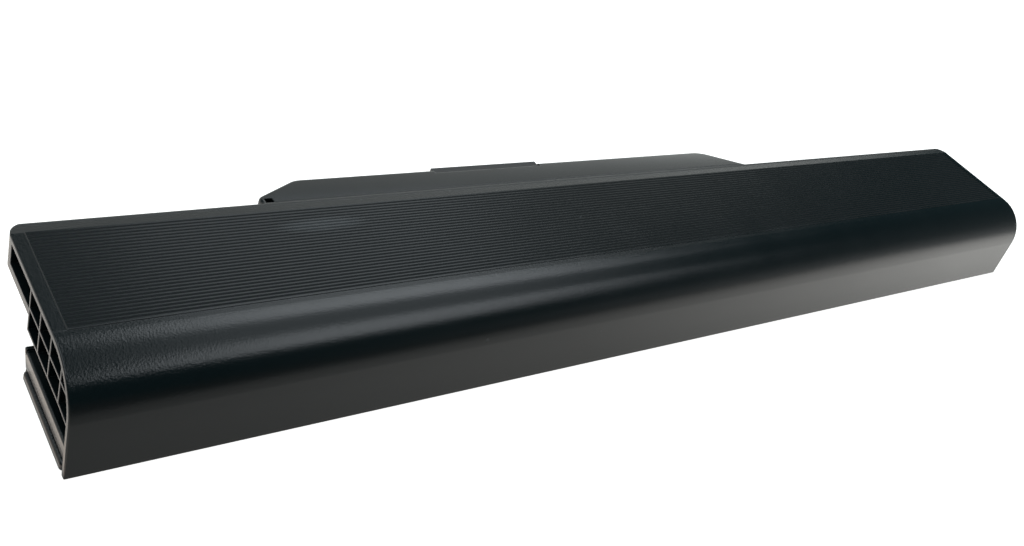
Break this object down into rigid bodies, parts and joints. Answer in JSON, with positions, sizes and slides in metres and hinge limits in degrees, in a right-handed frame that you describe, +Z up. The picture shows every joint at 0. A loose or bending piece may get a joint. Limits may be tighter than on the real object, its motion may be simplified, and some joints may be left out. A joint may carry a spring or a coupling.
{
  "type": "laptop battery",
  "caption": "Black bar-shaped laptop battery with a ridged top, rounded front, thin rear wing, connector tongue and ribbed ends with guide slots.",
  "frame": {"origin": "middle of the pack's footprint, on the face that it lies on", "axes": "+X along the pack to its right end, +Y back towards the connector, +Z up through the ridged top"},
  "size_m": [0.2742, 0.0468, 0.0205],
  "materials": {
    "case_plastic": "black satin moulded plastic with a fine grain",
    "connector_plastic": "black smooth moulded plastic",
    "cell_sleeve": "shrink sleeve over a steel can",
    "ring_paper": "pale insulating paper",
    "nickel": "plain nickel strip",
    "contact_metal": "gold-plated spring contacts",
    "board": "green solder mask over glass fibre",
    "chip_black": "black moulded chip body",
    "passive": "tan ceramic chip",
    "fuse_body": "pale grey moulded body",
    "lead_red": "red wire insulation",
    "lead_black": "black wire insulation",
    "lead_white": "white wire insulation",
    "sheet_film": "amber insulating film",
    "pad_foam": "grey adhesive foam"
  },
  "bodies": {
    "root": {"top_cover": "case_plastic", "bottom_cover": "case_plastic", "connector_housing": "connector_plastic", "connector_contacts": "contact_metal", "cell_1": "cell_sleeve", "cell_2": "cell_sleeve", "cell_3": "cell_sleeve", "cell_4": "cell_sleeve", "cell_ring_1": "ring_paper", "cell_ring_2": "ring_paper", "cell_ring_3": "ring_paper", "cell_ring_4": "ring_paper", "link_strip_1": "nickel", "link_strip_2": "nickel", "link_strip_3": "nickel", "negative_tab": "nickel", "positive_tab": "nickel", "negative_lead": "lead_black", "positive_lead": "lead_red", "sense_lead_1": "lead_white", "sense_lead_2": "lead_white", "sense_lead_3": "lead_white", "circuit_board": "board", "gauge_chip": "chip_black", "protection_chip": "chip_black", "switch_transistors": "chip_black", "sense_resistor": "chip_black", "thermal_fuse": "fuse_body", "thermistor": "lead_black", "chip_capacitors": "passive", "chip_resistors": "chip_black", "insulating_sheet": "sheet_film", "cell_pads": "pad_foam"}
  },
  "joints": []
}
